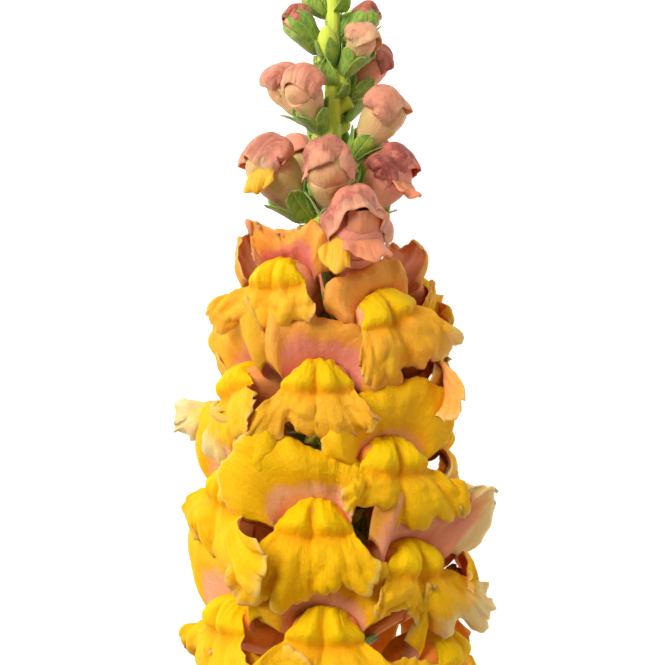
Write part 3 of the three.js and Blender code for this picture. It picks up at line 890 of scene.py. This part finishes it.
# %% [markdown]
# ## Coloured buds
# A bud is the same flower before it opens: a slim tube, the upper lip folded over its end like a
# hood, and on some a tongue of the lower lip that peeps out under it. Hoods are dusty pink with
# dark patches and dry edges, the tubes tan to yellow with pink lines, and the tongues golden or
# rosy. One material holds all four, and the lip value of a point picks one of them.

# %% Bud material
HOOD_PINK = colour("#e88c74")
HOOD_DARK = colour("#94463c")
TAN = colour("#e2b787")
LIME = colour("#cdbb70")


def bud_material():
    paper = Paper(
        "bud",
        Subsurface_Weight=0.4,
        Subsurface_Radius=(1.0, 0.5, 0.2),
        Subsurface_Scale=1.5 * MM,
        Specular_IOR_Level=0.35,
        Sheen_Weight=0.08,
        Sheen_Roughness=0.4,
    )
    side, reach, lip = paper.layer("side"), paper.layer("reach"), paper.layer("lip")
    young, outer = paper.layer("young"), paper.layer("outer")
    spot = paper.places()
    cloud = paper.grain(spot, 0.3, 4.0)
    pale, deep = paper.layer("pale"), paper.layer("deep")
    veins = paper.grain(paper.joined(side * 22, reach * 1.5, young * 31), 1.0, 3.0, 0.6)
    lines = paper.ramp(veins, 0.45, 0.62)
    tube = paper.mix(paper.ramp(cloud, 0.35, 0.65), TAN, LIME)
    blush = lines * 0.25 + paper.ramp(reach, 0.4, 0.8) * 0.3 + deep * 0.7
    tube = paper.mix(blush.limited(), tube, HOOD_PINK)
    patches = paper.ramp(paper.grain(spot, 0.16, 5.0, 0.6), 0.44, 0.6)
    dark = lines * 0.25 + patches * 0.65 - pale * 0.3
    hood = paper.mix(dark.limited(), HOOD_PINK, HOOD_DARK)
    dry = paper.ramp(reach + (cloud - 0.5) * 0.8, 0.6, 1.1) * 0.45 + pale * 0.4
    hood = paper.mix(dry.limited(), hood, TAN)
    tongue = paper.mix((cloud * 0.6).limited(), GOLD, PEACH)
    base = paper.mix(paper.ramp(lip, 0.4, 0.6), tube, hood)
    base = paper.mix(paper.ramp(lip, 1.4, 1.6), base, tongue)
    rosy = paper.mix((cloud * 0.7).limited(), HOOD_PINK, PEACH)
    base = paper.mix(paper.ramp(lip, 2.4, 2.6), base, rosy)
    paper.feed("Base Color", base)
    paper.feed("Roughness", 0.5 + outer * cloud * 0.2)
    crepe = paper.grain(spot, 1.2, 4.0, 0.65)
    paper.bump(veins * 0.8 + crepe * 0.9 + paper.grain(spot, 4.0, 2.0) * 0.4, 0.4, 0.6)
    return paper.material


BUD = bud_material()
print("nodes in the bud's material", len(BUD.node_tree.nodes))

# %% [markdown]
# ### Hoods and tongues
# Cloth simulation could fold a petal over a bud, but it is slow, and hard to steer for fourteen
# buds. A formula bends a sheet instead, from the tube's back over its top to the front, and a
# tongue is a sheet along a path of its own.

# %% Hood and tongues
BUD_RINGS = (
    (4.6, 1.4, 0, 0),
    (5.4, 2.6, 1.8, 1.8),
    (8.6, 6.4, 3.3, 3.3),
    (11.2, 9.8, 4.5, 4.5),
    (12.8, 11.4, 4.6, 4.4),
    (15.2, 12.6, 3.8, 3.6),
    (17.0, 13.4, 0, 0),
)


def hood(flower, side, reach):
    """The hood goes from the tube's back over its top and closes on it in front."""
    seed = flower["seed"]
    end = 156 + 14 * side * side + 16 * wave(1.4 * side, 0, seed) + flower.get("open", 0)
    turn = radians(158 - end * reach)
    lean = side * radians(104 - 20 * reach)
    wide = flower.get("hood", 4.9)
    radius = wide - 0.5 * smooth(0.6, 1.0, reach) + 0.35 * wave(2 * side, 2 * reach, seed)
    lift = radius * cos(lean)
    drop = 3.4 * side**2 * reach**2
    beak = flower.get("beak", 0.5) * reach**2 * (1 - side * side)
    r = 12.9 + 1.05 * lift * cos(turn) + beak
    a = 12.2 + 1.15 * lift * sin(turn) - drop
    return place(flower, radius * sin(lean) * 0.98, r, a)


def tongue(flower, tip, width, long, ways, side, reach):
    """A lobe of the lower lip, out from under the hood: ways are its first and last direction."""
    lean = radians(width * side + tip)
    ahead, away = along_path(*ways, 40, reach)
    long *= 1 - 0.3 * side * side + 0.15 * wave(2 * side, tip, flower["seed"])
    wide = flower.get("hood", 5.0) - 0.8
    r = 12.8 + wide * cos(lean) + long * away
    a = 12.4 - 1.5 * cos(lean) + long * ahead
    return place(flower, (wide + long * away * 0.6) * sin(lean), r, a)


print("rings", len(BUD_RINGS), "widest", 2 * max(ring[2] for ring in BUD_RINGS), "mm")

# %% [markdown]
# ### One bud
# Its tube is dented, its hood crumpled, and its tongues frilled, by noise that starts from another
# seed in each bud. Down covers all of it.

# %% One bud
HOOD_THICK, TONGUE_THICK = 0.45, 0.4
BUD_HAIRS, BUD_HAIR_LONG = 240, 0.5


def bud(flower):
    bm = new_mesh()
    seed, last = flower["seed"], len(BUD_RINGS) - 1
    look = {"young": 0.13 * seed % 1, "pale": flower.get("tan", 0.2)}
    look["deep"] = flower.get("blush", 0)

    def shape(angle, way):
        dent = 0.3 * wave(1.5 * cos(angle), 6 * way, seed)
        plump = flower.get("plump", 0) * smooth(0.3, 0.6, way)
        more = dent + plump if 0.1 < way < 0.92 else 0
        return skin_point(flower, BUD_RINGS, angle, last * way**0.9, more)

    def crumple(side, reach):
        folds = wave(1.6 * side, 2.0 * reach, seed + 0.3)
        creases = abs(wave(3 * side, 2.5 * reach, seed + 0.8))
        rim = reach**4 * (0.6 * wave(4 * side, 2, seed) + 0.3 * wave(9 * side, 1, seed))
        return flower.get("size", 1) * (0.9 * folds - 0.8 * creases + rim)

    def frill(side, reach):
        waves = 1.3 * wave(1.8 * side, reach, seed + 0.6) + 0.2 * wave(7 * side, reach, seed)
        return reach * waves

    add_skin(bm, 40, 32, shape, **look)
    add_sheet(bm, 48, 34, functools.partial(hood, flower), HOOD_THICK, crumple, lip=1, **look)
    for lip, tip, width, long, *ways in flower.get("tongues", ()):
        spread = functools.partial(tongue, flower, tip, width, long, ways)
        add_sheet(bm, 32, 20, spread, TONGUE_THICK, frill, lip=lip, **look)
    add_down(bm, BUD_HAIRS, BUD_HAIR_LONG, Random(seed))
    return finish_piece(bm, flower["name"] + "_fine", BUD, "bud", flower["name"])


# %% [markdown]
# ### Every bud by itself
# The lowest bud is about to open, and the buds get smaller and greener up the stem. In the list,
# size, hood and plump say how big a bud is, open and beak how its hood sits, blush and tan its
# colours, and closed how many rings further its sepals reach. A tongue is its mark, the side that
# it is on, how wide and how long it is, and its first and last direction.

# %% The buds
BUDS = [
    dict(foot=309, turn=15, size=1.4, hood=5.2, open=-24, beak=1.8, plump=0.3, blush=1.2, tan=0,
         tongues=[(2, -56, 32, 7, 172, 130), (3, 8, 46, 5, 170, 100), (3, 14, 44, 4.5, 50, -10)]),
    dict(foot=327, turn=-68, size=1.16, open=-8, tongues=[(2, 50, 40, 5.6, 166, 140)]),
    dict(foot=327, turn=-4, size=1.06),
    # This bud lies on the shaded side: its tan below zero darkens the hood and its blush pinks the tube,
    # partly its own colour and partly painted shade.
    dict(foot=326, turn=68, size=1.06, tan=-1.2, blush=0.9, tongues=[(3, -30, 40, 5, 168, 110)]),
    dict(foot=331, turn=-140, tongues=[(2, 0, 60, 4, 150, 60)]),
    dict(foot=331, turn=140, tongues=[(2, 0, 60, 4, 150, 60)]),
    dict(foot=347, turn=-36, size=0.86, tan=0.3, seed=5.1),
    dict(foot=349, turn=-96, size=0.84, tan=0.2),
    dict(foot=341, turn=70, size=0.96, tan=0.5, beak=1.0),
    dict(foot=350, turn=156, size=0.84, tan=0.5),
    dict(foot=360, turn=48, size=0.68, tan=1.2, beak=0.8),
    dict(foot=355, turn=112, size=0.76, tan=-1.2, beak=1.2, blush=1),
    dict(foot=365, turn=-64, size=0.66, hood=4.0, tan=-0.8, closed=2.8),
    dict(foot=367, turn=92, size=0.6, hood=4.0, tan=-0.8, closed=2.8),
]
for number, flower in enumerate(BUDS, 1):
    flower["name"] = f"bud_{number:02}"
    flower.setdefault("seed", 2.3 * number)

bud_pieces = [bud(flower) for flower in BUDS]
print("buds", len(bud_pieces), "faces", sum(len(p.data.polygons) for p in bud_pieces))

# %% [markdown]
# ## Everything green
# Green tissue is streaked lengthwise, and paler at its edges and on its midribs. The stem is light
# and yellowish, the sepals darker, the leaves darkest. One function makes both materials from
# their colours, so that stem and leaves stay of one family.

# %% Green materials
STEM_LIGHT = colour("#d9e850")
SEPAL_GREEN = colour("#648f2a")
SEPAL_EDGE = colour("#a9c46c")
LEAF_GREEN = colour("#3f6f24")
LEAF_VEIN = colour("#8fae55")
PITH = colour("#e2e5b4")


def green_material(name, plain, light, edge, weight):
    """Green tissue: streaked lengthwise, "edge" coloured at its edges and on its midrib."""
    paper = Paper(
        name,
        Subsurface_Weight=weight,
        Subsurface_Radius=(0.5, 1.0, 0.15),
        Subsurface_Scale=1.2 * MM,
        Specular_IOR_Level=0.4,
        Sheen_Weight=0.2,
    )
    side, reach = paper.layer("side"), paper.layer("reach")
    spot = paper.places()
    cloud = paper.grain(spot, 0.35, 4.0)
    streaks = paper.grain(paper.places((2.2, 0.12, 2.2)), 1.0, 3.0)
    blotches = paper.ramp(cloud * 0.5 + streaks * 0.5, 0.38, 0.62)
    base = paper.mix((1 - paper.layer("lip") * (1 - blotches * 0.35)).limited(), plain, light)
    rim = paper.ramp(side * side + reach**6 * 0.6, 0.7, 1.15) * paper.layer("lip")
    base = paper.mix((rim * 0.5).limited(), base, edge)
    rib = (1 - paper.ramp(side * side, 0.0, 0.012)) * paper.layer("lip")
    base = paper.mix((rib * 0.5).limited(), base, edge)
    paper.feed("Base Color", paper.mix(paper.layer("deep"), base, PITH))
    paper.feed("Roughness", 0.45 + cloud * 0.25)
    paper.bump(streaks * 1.0 + paper.grain(spot, 2.5, 2.0) * 0.5 - rib * 0.8, 0.3, 0.6)
    return paper.material


GREEN = green_material("stem", SEPAL_GREEN, STEM_LIGHT, SEPAL_EDGE, 0.25)
LEAF = green_material("leaf", LEAF_GREEN, SEPAL_GREEN, LEAF_VEIN, 0.2)
print("green materials", GREEN.name, "and", LEAF.name)

# %% [markdown]
# ### The stem
# It is a skin drawn along its line, with five faint ribs. A knife cut leaves a flat end with pale
# pith, so the first rings of the skin all lie in one plane.

# %% Stem
CUT_SHARE = 0.02  # the share of the skin that makes the cut


def add_stem(bm):
    """The stem from its cut end to its tip."""

    def shape(angle, way):
        along = (LENGTH - 4) * max(way - CUT_SHARE, 0) / (1 - CUT_SHARE)
        radius = stem_radius(along) * min(1, way / CUT_SHARE) * sqrt(min(1, 40 * (1 - way)))
        radius *= 1 + 0.03 * cos(5 * angle + 0.02 * along)
        return axis(along) + Vector((radius * cos(angle), 0, radius * sin(angle)))

    add_skin(bm, 28, 190, shape)
    marks = marks_of(bm)
    for vert in bm.verts:
        paint(marks, vert, deep=smooth(CUT_SHARE, 0.6 * CUT_SHARE, vert[marks["reach"]]))


print("the stem is", 2 * CUT_RADIUS, "mm thick at its cut and", end=" ")
print(round(2 * stem_radius(LENGTH), 1), "mm at its tip")

# %% [markdown]
# ### Stalks, cups and bracts
# Each flower has a short stalk that widens into a cup of five sepals, and a small bract under it.
# The sepals hug the tube, so they are sheets laid along the tube's own rings, a little out from
# them. Small turns picked at random keep the cups from being copies.

# %% Stalks, cups and bracts
BLADE_THICK = 0.35
SEPALS = 5


def add_stalk(bm, flower, rings, room):
    """The stalk, widening into the bowl of the cup."""
    r, a = rings[0][:2]

    def shape(angle, way):
        middle = (-1.0 + (r + 1.4) * way, -5 + (a + 5.6) * way**1.3)
        wide = 1.25 + (room + 1.0) * smooth(0.55, 1.0, way)
        wide *= sqrt(min(1, 12 * way, 12 * (1 - way)))
        up = wide * sin(angle)
        return place(flower, wide * cos(angle), middle[0] - 0.6 * up, middle[1] + 0.8 * up)

    add_skin(bm, 14, 12, shape)


def add_sepals(bm, flower, rings, deep, random):
    """Five sepals round the foot of a tube, reaching "deep" rings along it."""
    for number in range(SEPALS):
        middle = radians(360 / SEPALS * number + random.uniform(-9, 9) - 18)
        far = deep * random.uniform(0.85, 1.15)
        spread = random.uniform(0.4, 1.2)

        def shape(side, reach, middle=middle, far=far, spread=spread):
            width = 0.74 * sin(pi * (0.16 + 0.84 * reach)) ** 0.5
            lift = 0.5 + spread * reach**2.5 + 0.25 * side * side
            return skin_point(flower, rings, middle + width * side, 0.35 + far * reach, lift)

        add_sheet(bm, 6, 9, shape, BLADE_THICK, lip=1)


def add_bract(bm, flower, random):
    """The small blade under a stalk."""
    twist = random.uniform(-0.8, 0.8)

    def shape(side, reach):
        wide = 2.7 * sin(pi * (0.14 + 0.86 * reach)) ** 0.7
        r = 1.4 + 5.6 * reach - 0.9 * reach**3 + 0.9 * side * side
        a = -5.8 + 7.5 * reach**2 - 1.0 * reach
        return place(flower, wide * side + twist * reach, r, a)

    add_sheet(bm, 6, 10, shape, BLADE_THICK, lip=1)


# %% [markdown]
# ### The green tip
# The youngest buds are still closed in their sepals. Each is an egg with five blades round it, and
# each sits a golden angle further round the stem than the last, which plants do so that no leaf
# or flower shades the next.

# %% Closed buds at the tip
def egg_point(flower, angle, way, more):
    """A point round a green bud, "more" out from its skin; the bud leans out from the stem."""
    long = 12.5 * way
    wide = 3.0 * sin(pi * way) ** 0.7 + more if 0 < way < 1 else 0
    up = wide * sin(angle)
    r = 1.0 + 0.62 * long - 0.78 * up
    return place(flower, wide * cos(angle), r, -1 + 0.78 * long + 0.62 * up)


def add_green_bud(bm, flower, random):
    """A closed bud at the tip, wrapped in its sepals."""

    def egg(angle, way):
        return egg_point(flower, angle, way, 0)

    add_skin(bm, 14, 12, egg)
    for number in range(SEPALS):
        middle = radians(360 / SEPALS * number + random.uniform(-10, 10))
        far = random.uniform(0.62, 0.8)

        def shape(side, reach, middle=middle, far=far):
            angle = middle + 0.66 * side * sin(pi * (0.2 + 0.8 * reach)) ** 0.6
            return egg_point(flower, angle, 0.06 + far * reach, 0.35 + 0.5 * reach**3)

        add_sheet(bm, 6, 8, shape, BLADE_THICK, lip=1)


TIP_COUNT = 14
GOLDEN_ANGLE = 137.5  # from one bud to the next, as plants have it
TIP_BUDS = []
for i in range(TIP_COUNT):
    share = i / (TIP_COUNT - 1)
    turn = -12 + GOLDEN_ANGLE * i
    TIP_BUDS.append(dict(foot=364 + 58 * share**0.9, turn=turn, size=0.86 - 0.6 * share))
print("closed buds", len(TIP_BUDS))

# %% [markdown]
# ### One green mesh
# Stem, stalks, cups, bracts and closed buds are grown together on the plant, so here they are one
# mesh. They only have to reach into each other a little; a boolean union would cost more time
# and show no difference. The down goes on last, over all of them.

# %% Stem with all that is grown to it
STEM_HAIRS, STEM_HAIR_LONG = 7000, 0.9


def stem_greens():
    """All that is green and grown together, in one mesh."""
    bm = new_mesh()
    random = Random(11)
    add_stem(bm)
    for flower in BLOOMS:
        add_stalk(bm, flower, BLOOM_RINGS, room=1.6)
        add_sepals(bm, flower, BLOOM_RINGS, 1.05, random)
        add_bract(bm, flower, random)
    for flower in BUDS:
        add_stalk(bm, flower, BUD_RINGS, room=1.2)
        deep = (2.0 if flower.get("size", 1) > 0.7 else 2.7) + flower.get("closed", 0)
        add_sepals(bm, flower, BUD_RINGS, deep, random)
        add_bract(bm, flower, random)
    for flower in TIP_BUDS:
        add_green_bud(bm, flower, random)
        add_bract(bm, flower, random)
    add_down(bm, STEM_HAIRS, STEM_HAIR_LONG, random)
    return finish_piece(bm, "stem_fine", GREEN, "stem", "stem")


stem_piece = stem_greens()
print("stem faces", len(stem_piece.data.polygons))

# %% [markdown]
# ### Leaves
# Snapdragon leaves are narrow blades, folded along the midrib, that rise from the stem and droop
# in a curve. Each is a sheet with two slopes along a path, with a rippled edge.

# %% Leaves
LEAF_RISE = 48  # degrees from the stem at its foot
LEAF_THICK = 0.5
LEAVES = [
    dict(at=196, turn=-70, long=40, wide=8),
    dict(at=184, turn=55, long=44, wide=9),
    dict(at=170, turn=-8, long=47, wide=9.5, droop=70),
    dict(at=155, turn=-100, long=50, wide=10.5),
    dict(at=141, turn=96, long=52, wide=11),
    dict(at=124, turn=20, long=54, wide=12, droop=74),
    dict(at=108, turn=-72, long=56, wide=12.5),
    dict(at=90, turn=84, long=56, wide=12.5),
]


def leaf_point(leaf, side, reach):
    """A blade folded along its midrib, which rises from the stem and droops."""
    start = 90 - LEAF_RISE
    ahead, away = along_path(start, start + leaf.get("droop", 55), 0, reach)
    half = 0.5 * leaf["wide"] * (0.2 + 0.8 * sin(pi * (0.04 + 0.9 * reach) ** 0.8))
    fold = 0.28 * abs(side) * half
    point = axis(leaf["at"]) + sideways(leaf["turn"]) * half * side
    lift = stem_radius(leaf["at"]) + 0.4 + leaf["long"] * away - fold * cos(radians(LEAF_RISE))
    point += outward(leaf["turn"]) * lift
    point.y += leaf["long"] * ahead + fold * sin(radians(LEAF_RISE))
    return settle(point, 1)


def leaf_piece(number, leaf):
    bm = new_mesh()
    name = f"leaf_{number:02}"

    def ripple(side, reach):
        return 0.5 * side * side * wave(0.6 * side, 3.5 * reach, number)

    shape = functools.partial(leaf_point, leaf)
    add_sheet(bm, 16, 40, shape, LEAF_THICK, ripple, lip=1)
    return finish_piece(bm, name + "_fine", LEAF, "leaf", name)


leaf_pieces = [leaf_piece(number, leaf) for number, leaf in enumerate(LEAVES, 1)]
print("leaves", len(leaf_pieces))

# %% [markdown]
# ## The floor
# The stem lies on a pale table. A wide sheet does for it, with a little light of its own, so that
# the shadows on it stay soft and it looks almost white.

# %% Floor
floor_paper = Paper("floor", Roughness=0.9, Specular_IOR_Level=0.1)
speckle = floor_paper.grain(floor_paper.places(), 0.05, 2.0)
floor_paper.feed("Base Color", floor_paper.mix(speckle, colour("#c4c4c4"), colour("#bcbcbb")))
floor_paper.shader.inputs["Emission Color"].default_value = (1, 1, 1, 1)
floor_paper.shader.inputs["Emission Strength"].default_value = 0.9
floor_bm = bmesh.new()
bmesh.ops.create_grid(floor_bm, x_segments=1, y_segments=1, size=8.0)
floor_mesh = bpy.data.meshes.new("floor")
floor_bm.to_mesh(floor_mesh)
floor_bm.free()
floor_mesh.materials.append(floor_paper.material)
floor = bpy.data.objects.new("floor", floor_mesh)
bpy.context.collection.objects.link(floor)
floor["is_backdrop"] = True
print("floor", [round(c, 1) for c in floor.dimensions], "m")

# %% [markdown]
# ## Light
# Soft studio light: one large lamp from the upper left, a weaker one from the right, and a dim warm
# room around. Large lamps near the flowers give the soft edges to the shadows between petals.

# %% Lights
AIM_ALONG = 304  # the place along the stem that lamps and camera face
AIM = (axis(AIM_ALONG) + Vector((0, 0, 1.5))) * MM


def lamp(name, offset, power, size):
    """A square soft lamp, facing the flowers from an offset in metres."""
    light = bpy.data.lights.new(name, "AREA")
    light.energy, light.size = power, size
    made = bpy.data.objects.new(name, light)
    made.location = AIM + Vector(offset)
    made.rotation_euler = (-Vector(offset)).to_track_quat("-Z", "Y").to_euler()
    bpy.context.collection.objects.link(made)


lamp("key", offset=(-0.6, 0.45, 0.65), power=12.4, size=0.6)
lamp("fill", offset=(0.8, -0.3, 0.7), power=3.0, size=0.9)

world = bpy.data.worlds.new("room")
world.use_nodes = True
background = world.node_tree.nodes["Background"]
background.inputs["Color"].default_value = (1, 0.85, 0.65, 1)
background.inputs["Strength"].default_value = 0.22
bpy.context.scene.world = world
bpy.context.scene.view_settings.view_transform = "Standard"
print("lamps", [light.name for light in bpy.data.lights])

# %% [markdown]
# ## Camera
# It looks straight down on the flowers through a long lens, from far enough that the nearest blooms
# don't grow out of proportion. Its height follows from the width that it has to show.

# %% Camera
LENS = 110
VIEW_WIDTH = 148 * MM
lens = bpy.data.cameras.new("camera")
lens.lens = LENS
lens.clip_end = 20
camera = bpy.data.objects.new("camera", lens)
camera.location = AIM + Vector((0, 0, VIEW_WIDTH / lens.sensor_width * LENS))
bpy.context.collection.objects.link(camera)
bpy.context.scene.camera = camera
print("camera", [round(c, 3) for c in camera.location])

# %% [markdown]
# ## Close the book
# The box of the finished plant is measured beside the box of the CAD model, and how far each corner
# moved is printed, to show that the fine pieces stay where the plain ones were.

# %% Measure and finish
def triangles(piece):
    return sum(len(face.vertices) - 2 for face in piece.data.polygons)


pieces = [*bloom_pieces, *bud_pieces, stem_piece, *leaf_pieces]
counts = [triangles(piece) for piece in pieces]
print("pieces", len(pieces), "triangles", sum(counts), "at most", max(counts), "in a piece")
boxes = {"cad": [list(corner) for corner in cad_box], "visual": [list(corner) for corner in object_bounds()]}
print("grown by mm", [
    [round(1000 * (b - a), 1) for a, b in zip(old, new)]
    for old, new in zip(boxes["cad"], boxes["visual"])
])
